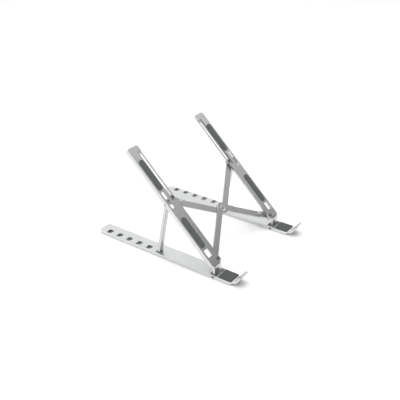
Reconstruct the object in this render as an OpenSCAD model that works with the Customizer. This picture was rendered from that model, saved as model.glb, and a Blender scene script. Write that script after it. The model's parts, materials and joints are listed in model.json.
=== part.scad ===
// Folding laptop stand: two base bars, two tilting upper bars, two support legs
// and a crossed pair of links that lets the stand close up side to side.
// Axes: +X to the right bar, +Y to the back, +Z up; the stand rests on Z = 0.
// Each side is drawn once, with local +X pointing outwards, and mirrored.

/* [Stand] */
// Distance between the centre lines of the two sides when open
bar_spacing = 157.5; // [120:0.5:160]
// Angle of the upper bars above the floor
tilt = 43.6; // [40:0.1:45]

/* [Base bars] */
// Width of a base bar
base_w = 23; // [22:0.5:26]
// Height of the top of a base bar above the floor
base_h = 5.5; // [5:0.1:6]
// Distance from the hinge pin to the back end of a base bar
base_back = 210; // [205:1:230]
// Distance from the hinge pin to the front edge of a base bar
base_front = 29.6; // [29:0.1:32]
// Thickness of the pressed base sheet
base_t = 1.6; // [1.2:0.1:1.8]
// Number of foot slots in each base bar
slot_count = 6; // [1:1:6]
// Distance from the hinge pin to the centre of the first slot
slot_first = 96.8; // [96:0.1:97.5]
// Distance between two slots
slot_pitch = 19.07; // [14:0.01:20]
// Length of a slot along the bar
slot_len = 8.5; // [8:0.1:9.5]
// Width of a slot across the bar
slot_w = 9.5; // [9:0.1:9.8]
// Offset of the slot row from the bar's centre line, outwards
slot_x = 5.3; // [5:0.1:5.4]

/* [Front hooks] */
// Angle of the hook lip above the floor
lip_angle = 65; // [50:1:70]
// Straight length of the lip beyond its bend
lip_len = 7.5; // [7:0.1:12]
// Width of the lip
lip_w = 19.6; // [12:0.1:20]
// Thickness of the lip
lip_t = 2; // [1.6:0.1:2.4]

/* [Upper bars] */
// Width of an upper bar
upper_w = 21.5; // [21:0.1:23]
// Length of an upper bar, without its hinge tongue
upper_len = 197; // [192:1:205]
// Thickness of the upper sheet
upper_t = 1.5; // [1:0.1:1.6]
// Depth of the outer side wall
outer_wall = 6; // [4:0.1:6.5]
// Depth of the inner side wall
inner_wall = 3; // [2:0.1:3]
// Width of the hinge tongue
tongue_w = 15.4; // [12:0.1:15.6]
// Thickness of the hinge tongue
tongue_t = 3.5; // [3:0.1:3.6]

/* [Support legs] */
// Width of a leg
leg_w = 7.6; // [6:0.1:7.6]
// Depth of a leg
leg_d = 4.4; // [3.5:0.1:4.4]

/* [Crossed links] */
// Width of a link arm
arm_w = 9.6; // [7:0.1:9.6]
// Thickness of a link
link_t = 2.4; // [1.5:0.1:2.4]
// Radius of the round boss in the middle of a link
boss_r = 9; // [7:0.1:9]

/* [Hidden] */
$fn = 64;
LEFT = -1;
RIGHT = 1;
eps = 0.01;
touch_gap = 0.05;

// Base bar and its hook
rim_z = 0.6;
rim_t = 1;
base_corner = 5;
hook_corner = 4;
lip_bend_r = 10.7;
lip_y = -28.6;
lip_corner = 2.5;
lip_pad_w = 17.6;
lip_pad_len = 6.5;
lip_pad_t = 0.8;
pad_t = 1;
hook_pad_y = [-28.2, -7.5];
hook_pad_w = 21;
hinge_open_y = [-6.8, 6.2];
hinge_open_w = 20.9;
front_foot_y = [-27, -11];
rear_foot_y = [198.5, 207];
foot_w = 17;

// Hinge
pin_z = 2.6;
pin_r = 1;
pin_head_r = 1.6;
pin_head_t = 0.4;
barrel_r = 2.3;
press_gap = 0.02;
run_gap = 0.06;

// Upper bar
bar_y = 0.75;
bar_z = 19.6;
bar_wall = 1;
bar_corner = 4;
bend_turn = 90 - tilt;
tongue_root = 0.3;
tongue_x = 1.5;
bend_r = (bar_y + sin(tilt) * tongue_t / 2) / (1 - cos(bend_turn));
bend_z = bar_z - cos(tilt) * tongue_t / 2 - bend_r * sin(bend_turn);
step_down = 1.2;
strip_edge = -2.6;
strip_t = [102.5, 187.5];
pad_x = 2.8;
pad_w = 9;
lower_pad_t = [27.3, 77.8];
upper_pad_t = [125, 175.5];
window_x = 5;
window_w = 4.6;
lower_window_t = [95.3, 104.2];
upper_window_t = [111, 121.7];
front_window_x = [-1.1, 7.4];
front_window_t = [12.3, 23.9];

// Crossed links: height of each link's top face below the bar's top face
link_x = -6.6;
front_pivot_t = 3.8;
slider_t = 108.6;
half_width = bar_spacing / 2 + link_x;
half_reach = (slider_t - front_pivot_t) / 2;
half_link = sqrt(half_width * half_width + half_reach * half_reach);
link_turn = atan2(half_width, half_reach);
closed_spacing = 24.4;
slider_end_t = front_pivot_t + 2 * sqrt(half_link * half_link - pow(closed_spacing / 2 + link_x, 2));
upper_link_z = -3.9;
lower_link_z = -6.8;
arm_end_x = 2.4;
arm_mid_x = 3.8;
arm_root = 0.8;
ear_r = 4.6;
boss_hole_r = 2;
joggle_y = [70, 77];
link_pin_r = 1.5;
slider_pin_r = 1.4;
slider_gap = 0.25;
rivet_head_r = 3;
rivet_head_t = 0.9;
slider_head_r = 3.8;
centre_head_r = 4.8;
rivet_tail_r = 2.6;
rivet_tail_t = 0.75;
washer_r = 3.1;
recess_r = 4.6;

// Leg and its bracket: the pivot in the bar's own axes, and the leg's lean
leg_x = 5;
leg_pin_t = 105;
leg_pin_z = -5.67;
leg_pin_r = 1.1;
leg_lean = 79.2;
leg_knuckle_r = 3;
leg_web = 1.2;
leg_side = 1;
foot_depth = 1;
leg_pin_y = bar_y + leg_pin_t * cos(tilt) - leg_pin_z * sin(tilt);
leg_pin_h = bar_z + leg_pin_t * sin(tilt) + leg_pin_z * cos(tilt);
leg_len = (leg_pin_h - base_h + foot_depth - cos(leg_lean) * leg_d / 2) / sin(leg_lean);
bracket_t = 0.8;
bracket_y = [104.6, 110.4];
bracket_ear_r = 3.2;
bracket_x = [0.2, 9.7];

// The stand's origin is under the middle of its outline
lip_y_out = lip_y - (lip_bend_r + lip_t) * sin(lip_angle) - lip_len * cos(lip_angle);
mid_y = (base_back + lip_y_out) / 2;

// Placing

module on_side(side) {
    translate([side * bar_spacing / 2, -mid_y, 0])
        mirror([side < 0 ? 1 : 0, 0, 0]) children();
}

module on_bar(side) {
    on_side(side) translate([0, bar_y, bar_z]) rotate([tilt, 0, 0]) children();
}

// Link axes: origin at the crossing, +Y from the front pivot to the slider
module on_link(lean) {
    translate([0, bar_y - mid_y, bar_z]) rotate([tilt, 0, 0])
        translate([0, front_pivot_t + half_reach, 0]) rotate([0, 0, lean]) children();
}

// Shapes

// A flat bar with a radius at its two front and its two back corners
module bar_plan(w, y0, y1, r0, r1) {
    translate([-w / 2, y0 + r0]) square([w, y1 - y0 - r0 - r1]);
    translate([-w / 2 + r0, y0]) square([w - 2 * r0, r0 + eps]);
    translate([-w / 2 + r1, y1 - r1 - eps]) square([w - 2 * r1, r1 + eps]);
    for (s = [-1, 1]) {
        translate([s * (w / 2 - r0), y0 + r0]) circle(r0);
        translate([s * (w / 2 - r1), y1 - r1]) circle(r1);
    }
}

// A plate of a plan, between two heights
module slab(z0, z1) {
    translate([0, 0, z0]) linear_extrude(z1 - z0) children();
}

// A profile drawn in Y and Z, drawn out across X
module across(w) {
    rotate([90, 0, 90]) linear_extrude(w, center = true) children();
}

// A round bar along X, between two ends
module rod_x(x0, x1, r) {
    translate([x0, 0, 0]) rotate([0, 90, 0]) cylinder(r = r, h = x1 - x0);
}

module disc(z0, z1, r) {
    translate([0, 0, z0]) cylinder(r = r, h = z1 - z0);
}

module washer(z0, z1, r, bore) {
    difference() {
        disc(z0, z1, r);
        disc(z0 - 1, z1 + 1, bore);
    }
}

// A ring sector about the origin, from angle a0 to a1 in degrees, under 180 in all
module ring_sector(r0, r1, a0, a1) {
    reach = 3 * r1;
    intersection() {
        difference() {
            circle(r1);
            circle(r0);
        }
        polygon([[0, 0], reach * [cos(a0), sin(a0)],
            reach * [cos((a0 + a1) / 2), sin((a0 + a1) / 2)], reach * [cos(a1), sin(a1)]]);
    }
}

// Base bar

// Lip axes: +Y up the straight part of the lip, from the middle of its bend
module on_lip() {
    translate([0, lip_y, base_h + lip_bend_r]) rotate([-lip_angle, 0, 0]) mirror([0, 1, 0]) children();
}

module lip() {
    translate([0, lip_y, base_h + lip_bend_r])
        across(lip_w) ring_sector(lip_bend_r, lip_bend_r + lip_t, -90 - lip_angle, -89);
    on_lip() slab(-lip_bend_r - lip_t, -lip_bend_r)
        bar_plan(lip_w, -eps, lip_len, eps, lip_corner);
}

module base_bar() {
    difference() {
        union() {
            difference() {
                slab(rim_z, base_h) bar_plan(base_w, -base_front, base_back, hook_corner, base_corner);
                slab(rim_z - 1, base_h - base_t)
                    bar_plan(base_w - 2 * rim_t, rim_t - base_front, base_back - rim_t,
                        hook_corner - rim_t, base_corner - rim_t);
            }
            lip();
        }
        for (i = [0 : slot_count - 1])
            slab(0, base_h + 1) translate([slot_x, slot_first + i * slot_pitch])
                square([slot_w, slot_len], center = true);
        slab(0, base_h + 1) translate([-hinge_open_w / 2, hinge_open_y[0]])
            square([hinge_open_w, hinge_open_y[1] - hinge_open_y[0]]);
        translate([0, 0, pin_z]) rod_x(-base_w, base_w, pin_r + press_gap);
    }
}

module hook_pad() {
    slab(base_h, base_h + pad_t) bar_plan(hook_pad_w, hook_pad_y[0], hook_pad_y[1], 1.5, 1);
}

module lip_pad() {
    on_lip() slab(-lip_bend_r, lip_pad_t - lip_bend_r)
        bar_plan(lip_pad_w, 0.2, lip_pad_len, 0.8, lip_corner - 1);
}

module foot(y) {
    slab(0, base_h - base_t) bar_plan(foot_w, y[0], y[1], 2, 2);
}

module hinge_pin() {
    end = base_w / 2;
    translate([0, 0, pin_z]) {
        rod_x(-end, end, pin_r);
        for (s = [-1, 1])
            mirror([s < 0 ? 1 : 0, 0, 0]) rod_x(end, end + pin_head_t, pin_head_r);
    }
}

module hinge_washers() {
    outer = base_w / 2 - rim_t - touch_gap;
    for (s = [-1, 1])
        mirror([s < 0 ? 1 : 0, 0, 0]) translate([0, 0, pin_z]) difference() {
            rod_x(s * tongue_x + tongue_w / 2 + touch_gap, outer, pin_head_r + 0.2);
            rod_x(0, base_w, pin_r + run_gap);
        }
}

// Upper bar

module tongue() {
    difference() {
        translate([tongue_x, 0, 0]) across(tongue_w) {
            translate([0, pin_z]) circle(barrel_r);
            translate([-tongue_t / 2, pin_z]) square([tongue_t, bend_z - pin_z + eps]);
            translate([bend_r, bend_z])
                ring_sector(bend_r - tongue_t / 2, bend_r + tongue_t / 2, 180, 180 - bend_turn);
            translate([bar_y, bar_z]) rotate(tilt) translate([0, -tongue_t]) square([tongue_root, tongue_t]);
        }
        translate([0, 0, pin_z]) rod_x(-base_w, base_w, pin_r + run_gap);
    }
}

module channel() {
    difference() {
        slab(-outer_wall, 0) bar_plan(upper_w, 0, upper_len, 1, bar_corner);
        slab(-outer_wall - 1, -upper_t)
            bar_plan(upper_w - 2 * bar_wall, -5, upper_len - bar_wall, 1, bar_corner - bar_wall);
        translate([-upper_w, -1, -outer_wall - 1])
            cube([1.5 * upper_w - bar_wall - 6, upper_len + 2, outer_wall + 1 - inner_wall]);
    }
}

// The inner strip of the bar lies one step lower than the rest: a thicker block, then its pocket
module strip_block() {
    edge = upper_w / 2 - bar_wall / 2;
    translate([-edge, strip_t[0] - bar_wall, -step_down - upper_t])
        cube([edge + strip_edge + bar_wall, strip_t[1] - strip_t[0] + 2 * bar_wall,
            step_down + upper_t / 2]);
}

module strip_pocket() {
    translate([-upper_w, strip_t[0], -step_down])
        cube([upper_w + strip_edge, strip_t[1] - strip_t[0], 2 * step_down]);
}

module slider_slot() {
    r = slider_pin_r + slider_gap;
    from = slider_t - slider_gap;
    to = slider_end_t + slider_gap;
    slab(-outer_wall, 1) {
        translate([link_x - r, from]) square([2 * r, to - from]);
        translate([link_x, from]) circle(r);
        translate([link_x, to]) circle(r);
    }
}

module window(x, t) {
    slab(-upper_t - 1, 1) translate([x[0], t[0]]) square([x[1] - x[0], t[1] - t[0]]);
}

module upper_bar_shell() {
    leg_window_x = [window_x - window_w / 2, window_x + window_w / 2];
    difference() {
        union() {
            channel();
            strip_block();
            translate([link_x, front_pivot_t, 0]) disc(-step_down - upper_t, -upper_t / 2, recess_r);
        }
        strip_pocket();
        slider_slot();
        window(leg_window_x, lower_window_t);
        window(leg_window_x, upper_window_t);
        window(front_window_x, front_window_t);
        translate([link_x, front_pivot_t, 0]) {
            disc(-step_down, 1, recess_r - bar_wall);
            disc(-outer_wall, 1, link_pin_r + press_gap);
        }
        translate([leg_x, (bracket_y[0] + bracket_y[1]) / 2, 0]) disc(-outer_wall, 1, leg_pin_r + press_gap);
        translate([0, leg_pin_t, leg_pin_z]) rod_x(leg_x, upper_w, leg_pin_r + press_gap);
    }
}

module upper_bar(side) {
    on_bar(side) upper_bar_shell();
    on_side(side) tongue();
}

module bar_pad(t) {
    slab(0, pad_t) translate([pad_x, 0]) bar_plan(pad_w, t[0], t[1], pad_w / 2 - eps, pad_w / 2 - eps);
}

module leg_bracket() {
    middle = (bracket_y[0] + bracket_y[1]) / 2;
    ear_x = [bracket_x[0], bracket_x[1] - bracket_t];
    difference() {
        union() {
            translate([bracket_x[0], bracket_y[0], -upper_t - bracket_t])
                cube([bracket_x[1] - bracket_x[0], bracket_y[1] - bracket_y[0], bracket_t]);
            for (x = ear_x) {
                translate([x, leg_pin_t, leg_pin_z]) rod_x(0, bracket_t, bracket_ear_r);
                translate([x, leg_pin_t - bracket_ear_r, leg_pin_z])
                    cube([bracket_t, bracket_y[1] - leg_pin_t + bracket_ear_r, -upper_t - leg_pin_z]);
            }
        }
        translate([0, leg_pin_t, leg_pin_z]) rod_x(-1, upper_w, leg_pin_r + press_gap);
        translate([leg_x, middle, 0]) disc(-outer_wall, 1, leg_pin_r + press_gap);
    }
}

module bracket_rivet() {
    translate([leg_x, (bracket_y[0] + bracket_y[1]) / 2, 0]) {
        disc(-upper_t - bracket_t, 0, leg_pin_r);
        disc(0, pad_t / 2, leg_pin_r + 0.6);
    }
}

module leg_pin() {
    translate([0, leg_pin_t, leg_pin_z]) {
        rod_x(bracket_x[0], upper_w / 2, leg_pin_r);
        rod_x(upper_w / 2, upper_w / 2 + pin_head_t, leg_pin_r + 0.7);
        rod_x(bracket_x[0] - pin_head_t, bracket_x[0], leg_pin_r + 0.7);
    }
}

// Support leg: a channel with its web to the front and a round knuckle on the pin

module support_leg() {
    inner = leg_w - 2 * leg_side;
    translate([leg_x, leg_pin_y, leg_pin_h]) rotate([-leg_lean, 0, 0]) difference() {
        union() {
            slab(-leg_d / 2, leg_d / 2) translate([-leg_w / 2, 0]) square([leg_w, leg_len]);
            rod_x(-leg_w / 2, leg_w / 2, leg_knuckle_r);
        }
        translate([-inner / 2, -2 * leg_knuckle_r, leg_web - leg_d / 2])
            cube([inner, leg_len + 2 * leg_knuckle_r - 7, 2 * leg_d]);
        translate([-inner / 2, -2 * leg_knuckle_r, -leg_d])
            cube([inner, 2 * leg_knuckle_r + 4.5, 2 * leg_d]);
        rod_x(-leg_w, leg_w, leg_pin_r + run_gap);
    }
}

// Crossed links

// One arm, from the boss to a pivot on +Y; it leans over to the +X side
module arm(z0, z1) {
    half = arm_w / 2;
    slab(z0, z1) polygon([
        [arm_mid_x - half, -arm_root], [arm_end_x - half, half_link],
        [arm_end_x + half - 2, half_link], [arm_end_x + half, half_link - 3],
        [arm_mid_x + half, -arm_root],
    ]);
    translate([0, half_link, 0]) disc(z0, z1, ear_r);
}

module link_blank(z0, z1) {
    difference() {
        union() {
            arm(z0, z1);
            rotate([0, 0, 180]) arm(z0, z1);
            disc(z0, z1, boss_r);
        }
        disc(z0 - 1, z1 + 1, boss_hole_r + run_gap);
        translate([0, half_link, 0]) disc(z0 - 1, z1 + 1, slider_pin_r + press_gap);
        translate([0, -half_link, 0]) disc(z0 - 1, z1 + 1, link_pin_r + run_gap);
    }
}

// Side view of the lower link: low in the middle, stepped up at both ends
module joggle_profile() {
    far = half_link + ear_r + 1;
    low = lower_link_z - upper_link_z;
    step = joggle_y[1] - joggle_y[0];
    difference() {
        translate([-far, low - link_t]) square([2 * far, link_t - low]);
        for (s = [0, 1]) mirror([s, 0]) polygon([[-1, low], [joggle_y[0], low], [joggle_y[1], 0],
            [joggle_y[1], 1], [-1, 1]]);
        for (s = [0, 1]) mirror([s, 0]) polygon([[joggle_y[0] + 0.6, low - link_t - 1],
            [joggle_y[0] + 0.6, low - link_t], [joggle_y[0] + 0.6 + step, -link_t],
            [far + 1, -link_t], [far + 1, low - link_t - 1]]);
    }
}

module link_upper() {
    on_link(-link_turn) link_blank(upper_link_z - link_t, upper_link_z);
}

module link_lower() {
    on_link(link_turn) mirror([1, 0, 0]) intersection() {
        link_blank(lower_link_z - link_t - 1, upper_link_z + 1);
        translate([0, 0, upper_link_z]) across(4 * boss_r + 10) joggle_profile();
    }
}

// Rivets and washers of the links, in the bar's or the link's axes

module front_rivet() {
    translate([link_x, front_pivot_t, 0]) {
        disc(upper_link_z - link_t - touch_gap, -step_down, link_pin_r);
        disc(-step_down, -step_down + rivet_head_t, rivet_head_r);
        disc(upper_link_z - link_t - touch_gap - rivet_tail_t, upper_link_z - link_t - touch_gap,
            rivet_tail_r);
    }
}

module front_washer() {
    translate([link_x, front_pivot_t, 0])
        washer(upper_link_z + touch_gap, -step_down - upper_t, washer_r, link_pin_r + press_gap);
}

module slider_rivet() {
    translate([0, half_link, 0]) {
        disc(upper_link_z - link_t, -step_down + touch_gap, slider_pin_r);
        disc(-step_down + touch_gap, -step_down + touch_gap + rivet_head_t, slider_head_r);
        disc(upper_link_z - link_t - rivet_tail_t, upper_link_z - link_t, rivet_tail_r);
    }
}

module slider_washer() {
    translate([0, half_link, 0])
        washer(upper_link_z, -step_down - upper_t - touch_gap, washer_r, slider_pin_r + press_gap);
}

module centre_rivet() {
    tail = lower_link_z - link_t - touch_gap;
    disc(tail, upper_link_z, boss_hole_r);
    disc(upper_link_z, upper_link_z + rivet_tail_t, centre_head_r);
    disc(tail - rivet_tail_t, tail, rivet_head_r);
}

module centre_washer() {
    washer(lower_link_z + touch_gap, upper_link_z - link_t, boss_r / 2, boss_hole_r + run_gap);
}

// Colours

module silver() { color("#b9bcbc") children(); }
module satin() { color("#d0d2d2") children(); }
module steel() { color("#6f7270") children(); }
module rubber() { color("#595d5b") children(); }

// Left side
satin() on_side(LEFT) base_bar();  // base_bar_left
rubber() on_side(LEFT) hook_pad();  // hook_pad_left
rubber() on_side(LEFT) lip_pad();  // lip_pad_left
rubber() on_side(LEFT) foot(front_foot_y);  // front_foot_left
rubber() on_side(LEFT) foot(rear_foot_y);  // rear_foot_left
steel() on_side(LEFT) hinge_pin();  // hinge_pin_left
steel() on_side(LEFT) hinge_washers();  // hinge_washers_left
silver() upper_bar(LEFT);  // upper_bar_left
rubber() on_bar(LEFT) bar_pad(upper_pad_t);  // upper_pad_left
rubber() on_bar(LEFT) bar_pad(lower_pad_t);  // lower_pad_left
silver() on_bar(LEFT) leg_bracket();  // leg_bracket_left
steel() on_bar(LEFT) bracket_rivet();  // bracket_rivet_left
steel() on_bar(LEFT) leg_pin();  // leg_pin_left
silver() on_side(LEFT) support_leg();  // support_leg_left
steel() on_bar(LEFT) front_rivet();  // front_rivet_left
steel() on_bar(LEFT) front_washer();  // front_washer_left

// Right side
satin() on_side(RIGHT) base_bar();  // base_bar_right
rubber() on_side(RIGHT) hook_pad();  // hook_pad_right
rubber() on_side(RIGHT) lip_pad();  // lip_pad_right
rubber() on_side(RIGHT) foot(front_foot_y);  // front_foot_right
rubber() on_side(RIGHT) foot(rear_foot_y);  // rear_foot_right
steel() on_side(RIGHT) hinge_pin();  // hinge_pin_right
steel() on_side(RIGHT) hinge_washers();  // hinge_washers_right
silver() upper_bar(RIGHT);  // upper_bar_right
rubber() on_bar(RIGHT) bar_pad(upper_pad_t);  // upper_pad_right
rubber() on_bar(RIGHT) bar_pad(lower_pad_t);  // lower_pad_right
silver() on_bar(RIGHT) leg_bracket();  // leg_bracket_right
steel() on_bar(RIGHT) bracket_rivet();  // bracket_rivet_right
steel() on_bar(RIGHT) leg_pin();  // leg_pin_right
silver() on_side(RIGHT) support_leg();  // support_leg_right
steel() on_bar(RIGHT) front_rivet();  // front_rivet_right
steel() on_bar(RIGHT) front_washer();  // front_washer_right

// Crossed links
silver() link_upper();
silver() link_lower();
steel() on_link(-link_turn) slider_rivet();  // slider_rivet_right
steel() on_link(link_turn) slider_rivet();  // slider_rivet_left
steel() on_link(-link_turn) slider_washer();  // slider_washer_right
steel() on_link(link_turn) slider_washer();  // slider_washer_left
steel() on_link(0) centre_rivet();
steel() on_link(0) centre_washer();
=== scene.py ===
"""Folding aluminium laptop stand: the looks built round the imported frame."""

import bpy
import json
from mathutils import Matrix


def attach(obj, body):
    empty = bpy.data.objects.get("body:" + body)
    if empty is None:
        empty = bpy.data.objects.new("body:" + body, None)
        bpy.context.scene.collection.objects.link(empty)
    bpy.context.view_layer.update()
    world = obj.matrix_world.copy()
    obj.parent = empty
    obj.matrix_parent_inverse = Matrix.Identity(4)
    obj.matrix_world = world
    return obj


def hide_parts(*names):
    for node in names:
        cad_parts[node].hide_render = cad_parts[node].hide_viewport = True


bl_info = {
    "name": "Folding Laptop Stand",
    "version": (1, 0, 0),
    "blender": (4, 5, 0),
    "location": "3D View > Sidebar > Laptop Stand",
    "description": "Builds the finished surfaces of a folding laptop stand, its pads, rivets and stage",
    "category": "Object",
}

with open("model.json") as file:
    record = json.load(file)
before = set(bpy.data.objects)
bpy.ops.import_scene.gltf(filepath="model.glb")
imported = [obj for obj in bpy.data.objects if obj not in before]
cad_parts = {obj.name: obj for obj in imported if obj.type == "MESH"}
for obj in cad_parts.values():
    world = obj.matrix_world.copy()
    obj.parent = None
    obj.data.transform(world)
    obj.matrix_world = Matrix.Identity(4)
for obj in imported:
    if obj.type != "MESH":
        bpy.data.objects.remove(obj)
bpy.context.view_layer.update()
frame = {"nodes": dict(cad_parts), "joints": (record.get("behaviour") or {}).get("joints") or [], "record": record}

import json
import math

import bmesh
import bpy
from mathutils import Vector

MM = 0.001
SIDES = ("left", "right")
JOINTS = {joint["name"]: joint for joint in frame["joints"]}

# The upper bars lean back by TILT, and BAR_NORMAL stands square on their top faces
BAR_NORMAL = Vector(JOINTS["side_fold"]["axis"]).normalized()
TILT = math.atan2(-BAR_NORMAL.y, BAR_NORMAL.z)

# Where the links cross, and where each is riveted to its upper bar
CROSSING = Vector(JOINTS["link_cross"]["pos_m"])
FRONT_PIVOT = {
    "link_upper": Vector(JOINTS["side_fold"]["pos_m"]),
    "link_lower": Vector(JOINTS["under_link_pivot"]["pos_m"]),
}
HINGE_Y = JOINTS["tilt_left"]["pos_m"][1]

# Lean of the legs' long side, which their draw lines follow
LEG_LEAN = math.radians(-79.2)

# Patterns of the materials, in repeats per metre
GRAIN_SCALE = 2600.0
DRAW_LINE_SCALE = 900.0
SMUDGE_SCALE = 38.0
SPECKLE_SCALE = 620.0
PEBBLE_SCALE = 1500.0
DUST_SCALE = 90.0
TURNED_MARK_SCALE = 3200.0
STAIN_SCALE = 260.0
FLOOR_SPECK_SCALE = 14.0
# How many times longer than wide a draw line is
DRAW_LINE_STRETCH = 9.0

# Angles between neighbouring faces that tell flat, curved and sharp apart
FLAT_TURN = math.radians(0.4)
CURVE_TURNS = (math.radians(0.3), math.radians(32))
SHARP_TURN = math.radians(38)
LATHE_SHARP_TURN = math.radians(50)
WELD_GAP = 0.002 * MM

# Shank radius, tail radius and tail height of each kind of rivet
RIVETS = {
    "front_rivet": (1.5 * MM, 2.6 * MM, 0.75 * MM),
    "slider_rivet": (1.4 * MM, 2.6 * MM, 0.75 * MM),
    "bracket_rivet": (1.1 * MM, 1.1 * MM, 0.5 * MM),
    "centre_rivet": (2.0 * MM, 3.0 * MM, 0.75 * MM),
}
# The ring of a rivet head that gets a painted highlight, as shares of the head's radius
PAINTED_HIGHLIGHT_RING = (0.66, 0.96)

# The studio's surrounding light: grey levels from low to overhead
SKY_STOPS = ((0.0, 0.30), (0.24, 0.12), (0.34, 0.15), (0.42, 0.44), (0.56, 0.80), (0.7, 1.0))
SKY_LIFT = 1.8
# A dark screen on the camera's side: where it starts and is full, its share and its grey
SCREEN_EDGE = (0.84, 0.97)
SCREEN_SHARE = 0.85
SCREEN_GREY = 0.03
# Name, place, target, size and power of each lamp
LAMPS = (
    ("overhead_light", (0.0, 0.1, 2.2), (0.0, 0.0, 0.0), 2.6, 30.0),
    ("left_light", (-1.6, 0.5, 1.3), (0.0, 0.05, 0.05), 1.6, 9.0),
)


# Settings

def length(name, description, default):
    return bpy.props.FloatProperty(
        name=name, description=description, default=default, min=0.0, unit="LENGTH", precision=5)


def share(name, description, default):
    return bpy.props.FloatProperty(
        name=name, description=description, default=default, min=0.0, max=1.0, subtype="FACTOR")


def colour(name, description, default):
    return bpy.props.FloatVectorProperty(
        name=name, description=description, default=default, size=3, min=0.0, max=1.0, subtype="COLOR")


class StandMetal(bpy.types.PropertyGroup):
    """Finish of the pressed aluminium parts."""

    base_colour: colour("Base bars", "Colour of the base bars", (0.66, 0.67, 0.67))
    bar_colour: colour("Upper bars", "Colour of the upper bars", (0.66, 0.665, 0.66))
    leg_colour: colour("Legs", "Colour of the support legs", (0.60, 0.61, 0.61))
    link_colour: colour("Links", "Colour of the crossed links", (0.64, 0.645, 0.64))
    roughness: share("Roughness", "Roughness of the anodised surface", 0.3)
    edge_width: length("Edge width", "Width of the broken edges", 0.4 * MM)
    grain_depth: length("Grain depth", "Depth of the blasted grain", 0.02 * MM)


class StandRubber(bpy.types.PropertyGroup):
    """Finish of the silicone pads and feet."""

    pad_colour: colour("Bar pads", "Colour of the pads on the upper bars", (0.105, 0.115, 0.11))
    hook_colour: colour("Hook pads", "Colour of the pads on the hooks", (0.062, 0.068, 0.065))
    foot_colour: colour("Feet", "Colour of the feet", (0.07, 0.075, 0.073))
    pad_edge: length("Pad edge", "Radius of the pads' top edge", 0.45 * MM)
    roughness: share("Roughness", "Roughness of the silicone", 0.62)


class StandRivets(bpy.types.PropertyGroup):
    """Shape and finish of the rivets and pins."""

    steel_colour: colour("Rivets", "Colour of the rivet heads", (0.14, 0.143, 0.14))
    pin_colour: colour("Pins", "Colour of the pins and washers", (0.52, 0.53, 0.53))
    head_height: length("Head height", "Height of a formed rivet head", 0.9 * MM)
    dimple: length("Dimple", "Depth of the dimple in a rivet head", 0.45 * MM)


class StandView(bpy.types.PropertyGroup):
    """Camera and lights."""

    camera: bpy.props.FloatVectorProperty(
        name="Camera", description="Place of the camera", size=3, unit="LENGTH",
        default=(-0.67037, HINGE_Y - 0.38590, 0.50114))
    heading: bpy.props.FloatProperty(
        name="Heading", description="Turn of the camera about the vertical", unit="ROTATION",
        default=math.radians(-54.935))
    pitch: bpy.props.FloatProperty(
        name="Pitch", description="Height of the camera's line of sight", unit="ROTATION",
        default=math.radians(28.528))
    lens: bpy.props.FloatProperty(
        name="Lens", description="Focal length", default=56.15, unit="CAMERA")
    floor_colour: colour("Floor", "Colour of the floor", (0.95, 0.95, 0.95))
    brightness: bpy.props.FloatProperty(
        name="Brightness", description="Strength of the studio's surrounding light", default=1.12, min=0.0)


# Shader graph

class Field:
    """A shader value that takes part in Python arithmetic and adds its own Math nodes."""

    def __init__(self, graph, socket):
        self.graph = graph
        self.socket = socket

    def math(self, operation, *others):
        node = self.graph.node("ShaderNodeMath", {"operation": operation}, dict(enumerate((self, *others))))
        return Field(self.graph, node.outputs[0])

    def __add__(self, other):
        return self.math("ADD", other)

    def __sub__(self, other):
        return self.math("SUBTRACT", other)

    def __rsub__(self, other):
        return (self * -1.0) + other

    def __mul__(self, other):
        return self.math("MULTIPLY", other)

    def __truediv__(self, other):
        return self.math("DIVIDE", other)

    def __rtruediv__(self, other):
        return self.math("POWER", -1.0) * other

    __radd__ = __add__
    __rmul__ = __mul__

    def clamp(self):
        return self.math("MINIMUM", 1.0).math("MAXIMUM", 0.0)

    def step(self, low, high):
        """0 below low, 1 above high and a straight ramp between."""
        return ((self - low) / (high - low)).clamp()


class Graph:
    """Adds nodes to a material or a world, taking numbers, colours and fields as inputs."""

    def __init__(self, tree):
        self.tree = tree
        tree.nodes.clear()

    def node(self, kind, settings=None, inputs=None):
        made = self.tree.nodes.new(kind)
        for name, value in (settings or {}).items():
            if name == "stops":
                self.set_stops(made.color_ramp, value)
            else:
                setattr(made, name, value)
        for name, value in (inputs or {}).items():
            if isinstance(value, Field):
                self.tree.links.new(value.socket, made.inputs[name])
            else:
                made.inputs[name].default_value = value
        return made

    def set_stops(self, ramp, stops):
        while len(ramp.elements) < len(stops):
            ramp.elements.new(1.0)
        for element, (place, shade) in zip(ramp.elements, stops):
            element.position = place
            element.color = (*shade, 1.0)

    def field(self, kind, settings=None, inputs=None, output=0):
        return Field(self, self.node(kind, settings, inputs).outputs[output])

    def noise(self, place, scale, detail=2.0):
        return self.field(
            "ShaderNodeTexNoise", {}, {"Vector": place, "Scale": scale, "Detail": detail}, output="Fac")

    def mix(self, amount, first, second):
        return self.field(
            "ShaderNodeMix", {"data_type": "RGBA"}, {0: amount, 6: first, 7: second}, output=2)

    def bump(self, height, distance, strength):
        return self.field(
            "ShaderNodeBump", {}, {"Height": height, "Distance": distance, "Strength": strength})


def new_material(name):
    """A material with an empty graph, and the graph's place reading Object coordinates."""
    material = bpy.data.materials.new(name)
    material.use_nodes = True
    graph = Graph(material.node_tree)
    place = graph.field("ShaderNodeTexCoord", output="Object")
    return material, graph, place


def finish_material(material, graph, inputs):
    shader = graph.node("ShaderNodeBsdfPrincipled", {}, inputs)
    graph.node("ShaderNodeOutputMaterial", {}, {"Surface": Field(graph, shader.outputs[0])})
    return material


def tone(shade, factor):
    return (*(min(1.0, channel * factor) for channel in shade), 1.0)


# Materials

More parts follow.
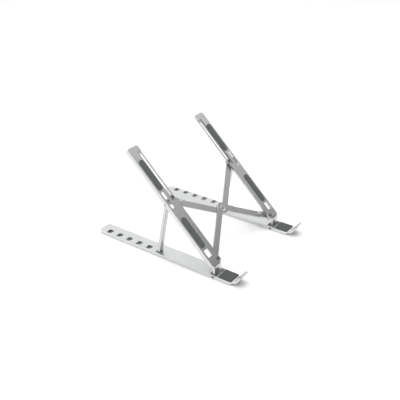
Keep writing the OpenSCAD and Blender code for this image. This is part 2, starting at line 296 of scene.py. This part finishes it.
def blasted_aluminium(name, shade, turn=(0.0, 0.0, 0.0)):
    """Satin anodised aluminium: blasted grain, faint draw lines, soft smudges and painted shade darkening the
    broken edges.
    """
    metal = bpy.context.scene.stand_metal
    material, graph, place = new_material(name)
    along = graph.field(
        "ShaderNodeMapping", {"vector_type": "TEXTURE"},
        {"Vector": place, "Rotation": turn, "Scale": (1.0, DRAW_LINE_STRETCH, 1.0)})
    grain = graph.noise(place, GRAIN_SCALE, 3.0)
    draw_lines = graph.noise(along, DRAW_LINE_SCALE)
    smudges = graph.noise(place, SMUDGE_SCALE, 3.0)
    worn = graph.field("ShaderNodeAttribute", {"attribute_name": "worn"}, output="Fac")
    speckle = graph.noise(place, SPECKLE_SCALE, 4.0).step(0.62, 0.74)
    body = graph.mix(smudges.step(0.3, 0.7), tone(shade, 0.94), tone(shade, 1.03))
    body = graph.mix(draw_lines.step(0.25, 0.8) * 0.3, body, tone(shade, 0.84))
    body = graph.mix(speckle * 0.12, body, tone(shade, 0.7))
    # Painted shade: the broken edges are darkened towards half the tone, mottled by the grain
    body = graph.mix(worn * (0.5 + grain * 0.4), body, tone(shade, 0.5))
    rough = metal.roughness + (smudges - 0.5) * 0.14 + (grain - 0.5) * 0.1 - worn * 0.08
    height = grain * 0.7 + draw_lines * 0.3
    return finish_material(material, graph, {
        "Base Color": body, "Metallic": 0.92, "Roughness": rough,
        "Normal": graph.bump(height, metal.grain_depth, 0.5)})


def silicone(name, shade):
    """Matt silicone: pebbled skin, dust that has settled in patches and slightly polished edges."""
    rubber = bpy.context.scene.stand_rubber
    material, graph, place = new_material(name)
    pebble = graph.field(
        "ShaderNodeTexVoronoi", {"feature": "SMOOTH_F1"}, {"Vector": place, "Scale": PEBBLE_SCALE})
    dust = graph.noise(place, DUST_SCALE, 5.0).step(0.45, 0.75)
    worn = graph.field("ShaderNodeAttribute", {"attribute_name": "worn"}, output="Fac")
    body = graph.mix(dust * 0.35, tone(shade, 1.0), tone(shade, 1.35))
    body = graph.mix(worn * 0.4, body, tone(shade, 0.72))
    rough = rubber.roughness + (dust - 0.5) * 0.12 - worn * 0.1
    return finish_material(material, graph, {
        "Base Color": body, "Roughness": rough, "Specular IOR Level": 0.35,
        "Normal": graph.bump(pebble, 0.03 * MM, 0.6)})


def turned_steel(name, shade, roughness):
    """Steel with fine turned marks, small stains and a painted highlight on the marked ring of a rivet head."""
    material, graph, place = new_material(name)
    marks = graph.noise(place, TURNED_MARK_SCALE)
    stain = graph.noise(place, STAIN_SCALE, 4.0).step(0.5, 0.72)
    worn = graph.field("ShaderNodeAttribute", {"attribute_name": "worn"}, output="Fac")
    body = graph.mix(stain * 0.5, tone(shade, 1.08), tone(shade, 0.66))
    # Painted highlight: the marked ring faces of a rivet head are lit up to over four times the steel's tone
    body = graph.mix(worn * 0.85, body, tone(shade, 4.2))
    rough = roughness + stain * 0.15 + (marks - 0.5) * 0.1
    return finish_material(material, graph, {
        "Base Color": body, "Metallic": 0.95, "Roughness": rough,
        "Normal": graph.bump(marks, 0.01 * MM, 0.5)})


# Meshes

def add_piece(name, mesh, material, body, nodes=()):
    """Shows a mesh as a piece of the object that rides on a body and stands for CAD nodes."""
    piece = bpy.data.objects.new(name, mesh)
    bpy.context.scene.collection.objects.link(piece)
    mesh.materials.clear()
    mesh.materials.append(material)
    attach(piece, body)
    if nodes:
        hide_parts(*nodes)
    return piece


def shade_faces(mesh_data, worn):
    """Smooth shading on broken edges and round walls, flat on plain faces."""
    low, high = CURVE_TURNS
    for face in mesh_data.faces:
        turns = [
            edge.calc_face_angle(0.0) for edge in face.edges
            if len(edge.link_faces) == 2 and not any(other[worn] > 0.5 for other in edge.link_faces)]
        curved = len(face.verts) < 6 and any(low < turn < high for turn in turns)
        face.smooth = face[worn] > 0.5 or curved


def edged_copy(node, width, segments):
    """A copy of a CAD node with merged faces and broken edges; the edge faces are marked, and the aluminium's
    material paints shade on them.
    """
    mesh_data = bmesh.new()
    mesh_data.from_mesh(frame["nodes"][node].data)
    bmesh.ops.remove_doubles(mesh_data, verts=mesh_data.verts, dist=WELD_GAP)
    bmesh.ops.dissolve_limit(
        mesh_data, angle_limit=FLAT_TURN, verts=mesh_data.verts, edges=mesh_data.edges)
    worn = mesh_data.faces.layers.float.new("worn")
    sharp = [
        edge for edge in mesh_data.edges
        if len(edge.link_faces) == 2 and edge.calc_face_angle(0.0) > SHARP_TURN]
    made = bmesh.ops.bevel(
        mesh_data, geom=sharp, offset=width, offset_type="OFFSET", segments=segments,
        profile=0.5, affect="EDGES", clamp_overlap=True)
    for face in made["faces"]:
        face[worn] = 1.0
    shade_faces(mesh_data, worn)
    mesh = bpy.data.meshes.new(node + "_finish")
    mesh_data.to_mesh(mesh)
    mesh_data.free()
    return mesh


def body_of_node(node):
    for body, members in frame["record"]["behaviour"]["bodies"].items():
        if node in members:
            return body
    raise ValueError("no body holds " + node)


def finish_node(node, width, segments, material):
    mesh = edged_copy(node, width, segments)
    return add_piece(node + "_finish", mesh, material, body_of_node(node), (node,))


def both(part):
    return [part + "_" + side for side in SIDES]


def lathe(name, profile, highlight_radii, steps=40):
    """A turned mesh about Z from (radius, height) points; faces within the highlight radii are marked for a
    painted highlight.
    """
    mesh_data = bmesh.new()
    worn = mesh_data.faces.layers.float.new("worn")
    rows = []
    for radius, height in profile:
        turns = [2 * math.pi * step / steps for step in range(steps if radius > 0.0 else 1)]
        rows.append([
            mesh_data.verts.new((radius * math.cos(turn), radius * math.sin(turn), height))
            for turn in turns])
    for low, high, (r0, _), (r1, _) in zip(rows, rows[1:], profile, profile[1:]):
        for step in range(steps):
            after = (step + 1) % steps
            corners = [low[step % len(low)], low[after % len(low)],
                       high[after % len(high)], high[step % len(high)]]
            face = mesh_data.faces.new(list(dict.fromkeys(corners)))
            face.smooth = True
            face[worn] = 1.0 if highlight_radii[0] <= (r0 + r1) / 2 <= highlight_radii[1] else 0.0
    bmesh.ops.recalc_face_normals(mesh_data, faces=mesh_data.faces)
    mesh = bpy.data.meshes.new(name)
    mesh_data.to_mesh(mesh)
    mesh_data.free()
    mesh.set_sharp_from_angle(angle=LATHE_SHARP_TURN)
    return mesh


def turned_size(node):
    """Centre of a turned CAD node, and its lowest and highest place and radius about that centre."""
    points = [vertex.co for vertex in frame["nodes"][node].data.vertices]
    centre = Vector([
        (min(point[axis] for point in points) + max(point[axis] for point in points)) / 2
        for axis in range(3)])
    heights = [(point - centre).dot(BAR_NORMAL) for point in points]
    radius = max(
        (point - centre - BAR_NORMAL * height).length for point, height in zip(points, heights))
    return centre, min(heights), max(heights), radius


def rivet_profile(low, high, radius, head, shank, tail, dimple):
    """Section of a rivet: tail, shank, and a head with a raised ring round a button."""
    tail_radius, tail_height = tail
    tail_top = low + tail_height
    head_base = high - head
    groove = high - dimple
    tail_end = [
        (0.0, low), (tail_radius * 0.8, low),
        (tail_radius, low + tail_height * 0.4), (tail_radius, tail_top)]
    shank_wall = [(shank, tail_top), (shank, head_base), (radius, head_base)]
    ring = [
        (radius, high - head * 0.4), (radius * 0.95, high - head * 0.12), (radius * 0.86, high),
        (radius * 0.74, high - head * 0.05), (radius * 0.62, groove), (radius * 0.52, groove)]
    button = [
        (radius * 0.44, high - dimple * 0.4), (radius * 0.3, high - dimple * 0.1),
        (radius * 0.12, high - dimple * 0.2), (0.0, high - dimple * 0.2)]
    return tail_end + shank_wall + ring + button


def scatter_tree():
    """Geometry Nodes tree: puts one shape at each point, turned alike, as real faces with a material."""
    tree = bpy.data.node_groups.new("Rivets At Points", "GeometryNodeTree")
    tree.interface.new_socket("Points", in_out="INPUT", socket_type="NodeSocketGeometry")
    tree.interface.new_socket("Shape", in_out="INPUT", socket_type="NodeSocketObject")
    tree.interface.new_socket("Turn", in_out="INPUT", socket_type="NodeSocketVector")
    tree.interface.new_socket("Size", in_out="INPUT", socket_type="NodeSocketFloat")
    tree.interface.new_socket("Material", in_out="INPUT", socket_type="NodeSocketMaterial")
    tree.interface.new_socket("Geometry", in_out="OUTPUT", socket_type="NodeSocketGeometry")
    given = tree.nodes.new("NodeGroupInput")
    result = tree.nodes.new("NodeGroupOutput")
    shape = tree.nodes.new("GeometryNodeObjectInfo")
    place = tree.nodes.new("GeometryNodeInstanceOnPoints")
    real = tree.nodes.new("GeometryNodeRealizeInstances")
    paint = tree.nodes.new("GeometryNodeSetMaterial")
    join = tree.links.new
    join(given.outputs["Shape"], shape.inputs["Object"])
    join(given.outputs["Points"], place.inputs["Points"])
    join(shape.outputs["Geometry"], place.inputs["Instance"])
    join(given.outputs["Turn"], place.inputs["Rotation"])
    join(given.outputs["Size"], place.inputs["Scale"])
    join(place.outputs["Instances"], real.inputs["Geometry"])
    join(real.outputs["Geometry"], paint.inputs["Geometry"])
    join(given.outputs["Material"], paint.inputs["Material"])
    join(paint.outputs["Geometry"], result.inputs["Geometry"])
    return tree


def place_shapes(name, shape_mesh, points, turn, material):
    """Runs the tree over some points and gives the result back as one plain mesh."""
    tree = bpy.data.node_groups.get("Rivets At Points") or scatter_tree()
    shape = bpy.data.objects.new(name + "_shape", shape_mesh)
    bpy.context.scene.collection.objects.link(shape)
    cloud = bpy.data.meshes.new(name + "_points")
    cloud.from_pydata([tuple(point) for point in points], [], [])
    carrier = bpy.data.objects.new(name + "_carrier", cloud)
    bpy.context.scene.collection.objects.link(carrier)
    modifier = carrier.modifiers.new("rivets", "NODES")
    modifier.node_group = tree
    values = {"Shape": shape, "Turn": turn, "Size": 1.0, "Material": material}
    for item in tree.interface.items_tree:
        if item.in_out == "INPUT" and item.name in values:
            modifier[item.identifier] = values[item.name]
    graph = bpy.context.evaluated_depsgraph_get()
    mesh = bpy.data.meshes.new_from_object(carrier.evaluated_get(graph), depsgraph=graph)
    mesh.name = name
    for used in (carrier, shape):
        bpy.data.objects.remove(used)
    return mesh


# Operators

class StandBaseBars(bpy.types.Operator):
    """Builds the two base bars with their hooks."""

    bl_idname = "stand.base_bars"
    bl_label = "Base Bars"

    def execute(self, context):
        metal = context.scene.stand_metal
        material = blasted_aluminium("base_aluminium", metal.base_colour)
        for node in both("base_bar"):
            finish_node(node, metal.edge_width, 2, material)
        return {"FINISHED"}


class StandUpperBars(bpy.types.Operator):
    """Builds the two upper bars and the leg brackets under them."""

    bl_idname = "stand.upper_bars"
    bl_label = "Upper Bars"

    def execute(self, context):
        metal = context.scene.stand_metal
        material = blasted_aluminium("bar_aluminium", metal.bar_colour, (TILT, 0.0, 0.0))
        for node in both("upper_bar"):
            finish_node(node, metal.edge_width, 2, material)
        for node in both("leg_bracket"):
            finish_node(node, metal.edge_width / 2, 1, material)
        return {"FINISHED"}


class StandLegs(bpy.types.Operator):
    """Builds the two support legs."""

    bl_idname = "stand.legs"
    bl_label = "Support Legs"

    def execute(self, context):
        metal = context.scene.stand_metal
        material = blasted_aluminium("leg_aluminium", metal.leg_colour, (LEG_LEAN, 0.0, 0.0))
        for node in both("support_leg"):
            finish_node(node, metal.edge_width * 0.8, 2, material)
        return {"FINISHED"}


class StandLinks(bpy.types.Operator):
    """Builds the two crossed links."""

    bl_idname = "stand.links"
    bl_label = "Crossed Links"

    def execute(self, context):
        metal = context.scene.stand_metal
        for node, pivot in FRONT_PIVOT.items():
            arm = CROSSING - pivot
            lean = math.asin(arm.x / arm.length)
            material = blasted_aluminium(node + "_aluminium", metal.link_colour, (TILT, 0.0, -lean))
            finish_node(node, metal.edge_width, 2, material)
        return {"FINISHED"}


class StandPads(bpy.types.Operator):
    """Builds the silicone pads and the feet."""

    bl_idname = "stand.pads"
    bl_label = "Pads and Feet"

    def execute(self, context):
        rubber = context.scene.stand_rubber
        pad = silicone("pad_silicone", rubber.pad_colour)
        hook = silicone("hook_silicone", rubber.hook_colour)
        foot = silicone("foot_silicone", rubber.foot_colour)
        for part in ("upper_pad", "lower_pad"):
            for node in both(part):
                finish_node(node, rubber.pad_edge, 3, pad)
        for part in ("hook_pad", "lip_pad"):
            for node in both(part):
                finish_node(node, rubber.pad_edge * 0.7, 3, hook)
        for part in ("front_foot", "rear_foot"):
            for node in both(part):
                finish_node(node, rubber.pad_edge, 2, foot)
        return {"FINISHED"}


class StandRivetHeads(bpy.types.Operator):
    """Builds the rivets of the links and the brackets, and finishes the pins and washers."""

    bl_idname = "stand.rivet_heads"
    bl_label = "Rivets and Pins"

    def execute(self, context):
        rivets = context.scene.stand_rivets
        steel = turned_steel("rivet_steel", rivets.steel_colour, 0.38)
        pins = turned_steel("pin_steel", rivets.pin_colour, 0.32)
        for side in SIDES:
            for kind in ("front_rivet", "slider_rivet", "bracket_rivet"):
                self.rivet(kind + "_" + side, RIVETS[kind], steel)
        self.rivet("centre_rivet", RIVETS["centre_rivet"], pins)
        for part in ("hinge_washers", "leg_pin", "front_washer", "slider_washer"):
            for node in both(part):
                self.paint(node, pins)
        for node in both("hinge_pin"):
            self.paint(node, steel)
        self.paint("centre_washer", pins)
        return {"FINISHED"}

    def rivet(self, node, sizes, material):
        shank, *tail = sizes
        inner, outer = PAINTED_HIGHLIGHT_RING
        rivets = bpy.context.scene.stand_rivets
        centre, low, high, radius = turned_size(node)
        head = min(rivets.head_height, (high - low) / 5)
        profile = rivet_profile(low, high, radius, head, shank, tail, rivets.dimple)
        shape = lathe(node + "_shape", profile, (radius * inner, radius * outer))
        mesh = place_shapes(node + "_head", shape, [centre], (TILT, 0.0, 0.0), material)
        add_piece(node + "_head", mesh, material, body_of_node(node), (node,))

    def paint(self, node, material):
        shown = frame["nodes"][node]
        shown.data.materials.clear()
        shown.data.materials.append(material)


class StandStage(bpy.types.Operator):
    """Sets the floor, the studio light and the camera."""

    bl_idname = "stand.stage"
    bl_label = "Stage"

    def execute(self, context):
        self.floor(context)
        self.sky(context)
        for lamp in LAMPS:
            self.lamp(*lamp)
        self.camera(context)
        context.scene.view_settings.view_transform = "Standard"
        return {"FINISHED"}

    def back(self, view):
        """Direction from the stand to the camera."""
        level = math.cos(view.pitch)
        return Vector((
            math.sin(view.heading) * level, -math.cos(view.heading) * level, math.sin(view.pitch)))

    def floor(self, context):
        material, graph, place = new_material("floor_paint")
        shade = context.scene.stand_view.floor_colour
        speck = graph.noise(place, FLOOR_SPECK_SCALE, 3.0)
        body = graph.mix(speck.step(0.3, 0.7), tone(shade, 0.995), tone(shade, 1.0))
        finish_material(material, graph, {"Base Color": body, "Roughness": 0.9, "Specular IOR Level": 0.1})
        mesh_data = bmesh.new()
        bmesh.ops.create_circle(mesh_data, cap_ends=True, segments=96, radius=6.0)
        mesh = bpy.data.meshes.new("floor")
        mesh_data.to_mesh(mesh)
        mesh_data.free()
        mesh.materials.append(material)
        floor = bpy.data.objects.new("floor", mesh)
        context.scene.collection.objects.link(floor)

    def sky(self, context):
        world = bpy.data.worlds.new("studio")
        world.use_nodes = True
        context.scene.world = world
        graph = Graph(world.node_tree)
        heading = graph.field("ShaderNodeTexCoord", output="Generated")
        parts = graph.node("ShaderNodeSeparateXYZ", {}, {0: heading})
        across, depth, height = (Field(graph, parts.outputs[axis]) for axis in "XYZ")
        lift = (across.math("ABSOLUTE") + depth + height) / SKY_LIFT
        stops = [(spot, (grey, grey, grey)) for spot, grey in SKY_STOPS]
        glow = graph.field("ShaderNodeValToRGB", {"stops": stops}, {0: lift})
        toward = self.back(context.scene.stand_view)
        facing = graph.field(
            "ShaderNodeVectorMath", {"operation": "DOT_PRODUCT"}, {0: heading, 1: toward}, output="Value")
        screen = (SCREEN_GREY, SCREEN_GREY, SCREEN_GREY, 1.0)
        shaded = graph.mix(facing.step(*SCREEN_EDGE) * SCREEN_SHARE, glow, screen)
        strength = context.scene.stand_view.brightness
        shader = graph.node("ShaderNodeBackground", {}, {"Color": shaded, "Strength": strength})
        graph.node("ShaderNodeOutputWorld", {}, {"Surface": Field(graph, shader.outputs[0])})

    def lamp(self, name, place, target, size, power):
        data = bpy.data.lights.new(name, "AREA")
        data.size = size
        data.energy = power
        lamp = bpy.data.objects.new(name, data)
        lamp.location = place
        lamp.rotation_euler = (Vector(target) - Vector(place)).to_track_quat("-Z", "Y").to_euler()
        lamp.visible_glossy = False
        bpy.context.scene.collection.objects.link(lamp)

    def camera(self, context):
        view = context.scene.stand_view
        data = bpy.data.cameras.new("camera")
        data.lens = view.lens
        data.sensor_width = 36.0
        camera = bpy.data.objects.new("camera", data)
        camera.location = view.camera
        camera.rotation_euler = (-self.back(view)).to_track_quat("-Z", "Y").to_euler()
        context.scene.collection.objects.link(camera)
        context.scene.camera = camera


class StandPanel(bpy.types.Panel):
    """Lists the build steps and their settings."""

    bl_idname = "VIEW3D_PT_laptop_stand"
    bl_label = "Laptop Stand"
    bl_space_type = "VIEW_3D"
    bl_region_type = "UI"
    bl_category = "Laptop Stand"

    def draw(self, context):
        for operator in OPERATORS:
            self.layout.operator(operator.bl_idname)
        for name in SETTINGS:
            group = getattr(context.scene, name)
            box = self.layout.box()
            for key in group.__annotations__:
                box.prop(group, key)


OPERATORS = (
    StandBaseBars, StandUpperBars, StandLegs, StandLinks, StandPads, StandRivetHeads, StandStage,
)
SETTINGS = {
    "stand_metal": StandMetal,
    "stand_rubber": StandRubber,
    "stand_rivets": StandRivets,
    "stand_view": StandView,
}


def register():
    for kind in (*SETTINGS.values(), *OPERATORS, StandPanel):
        bpy.utils.register_class(kind)
    for name, kind in SETTINGS.items():
        setattr(bpy.types.Scene, name, bpy.props.PointerProperty(type=kind))


def unregister():
    for name in SETTINGS:
        delattr(bpy.types.Scene, name)
    for kind in reversed((*SETTINGS.values(), *OPERATORS, StandPanel)):
        bpy.utils.unregister_class(kind)


def main():
    register()
    bpy.ops.stand.base_bars()
    bpy.ops.stand.upper_bars()
    bpy.ops.stand.legs()
    bpy.ops.stand.links()
    bpy.ops.stand.pads()
    bpy.ops.stand.rivet_heads()
    bpy.ops.stand.stage()


if __name__ == "__main__":
    main()
